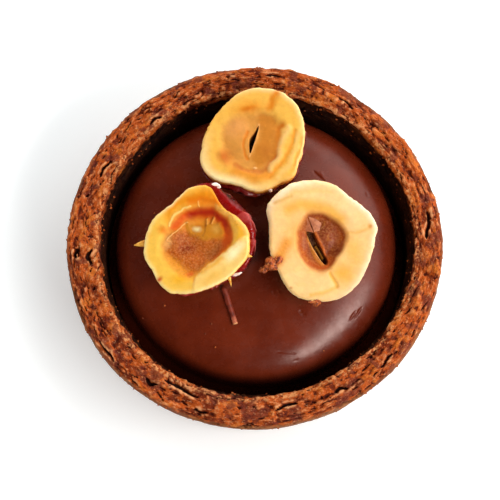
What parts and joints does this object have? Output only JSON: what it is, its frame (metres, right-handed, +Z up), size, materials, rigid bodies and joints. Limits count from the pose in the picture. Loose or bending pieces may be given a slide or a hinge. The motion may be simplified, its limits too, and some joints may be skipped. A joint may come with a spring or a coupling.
{
  "type": "chocolate tart",
  "caption": "Small round chocolate tart: a rough cocoa shortcrust shell with a smooth domed filling and halved hazelnuts pressed into the top.",
  "frame": {"origin": "middle of the flat base, on the surface that the tart stands on", "axes": "+Z up through the filling; -Y is the side nearest the viewer and +X is to the viewer's right"},
  "size_m": [0.0552, 0.0549, 0.0236],
  "materials": {
    "crust": "dry torn crumb, matte",
    "filling": "smooth satin",
    "nut_toasted": "waxy satin, toasted",
    "nut_blanched": "waxy satin, pale"
  },
  "bodies": {
    "root": {"crust": "crust", "filling": "filling", "nut_top": "nut_toasted", "nut_left": "nut_toasted", "nut_right": "nut_blanched"}
  },
  "joints": []
}
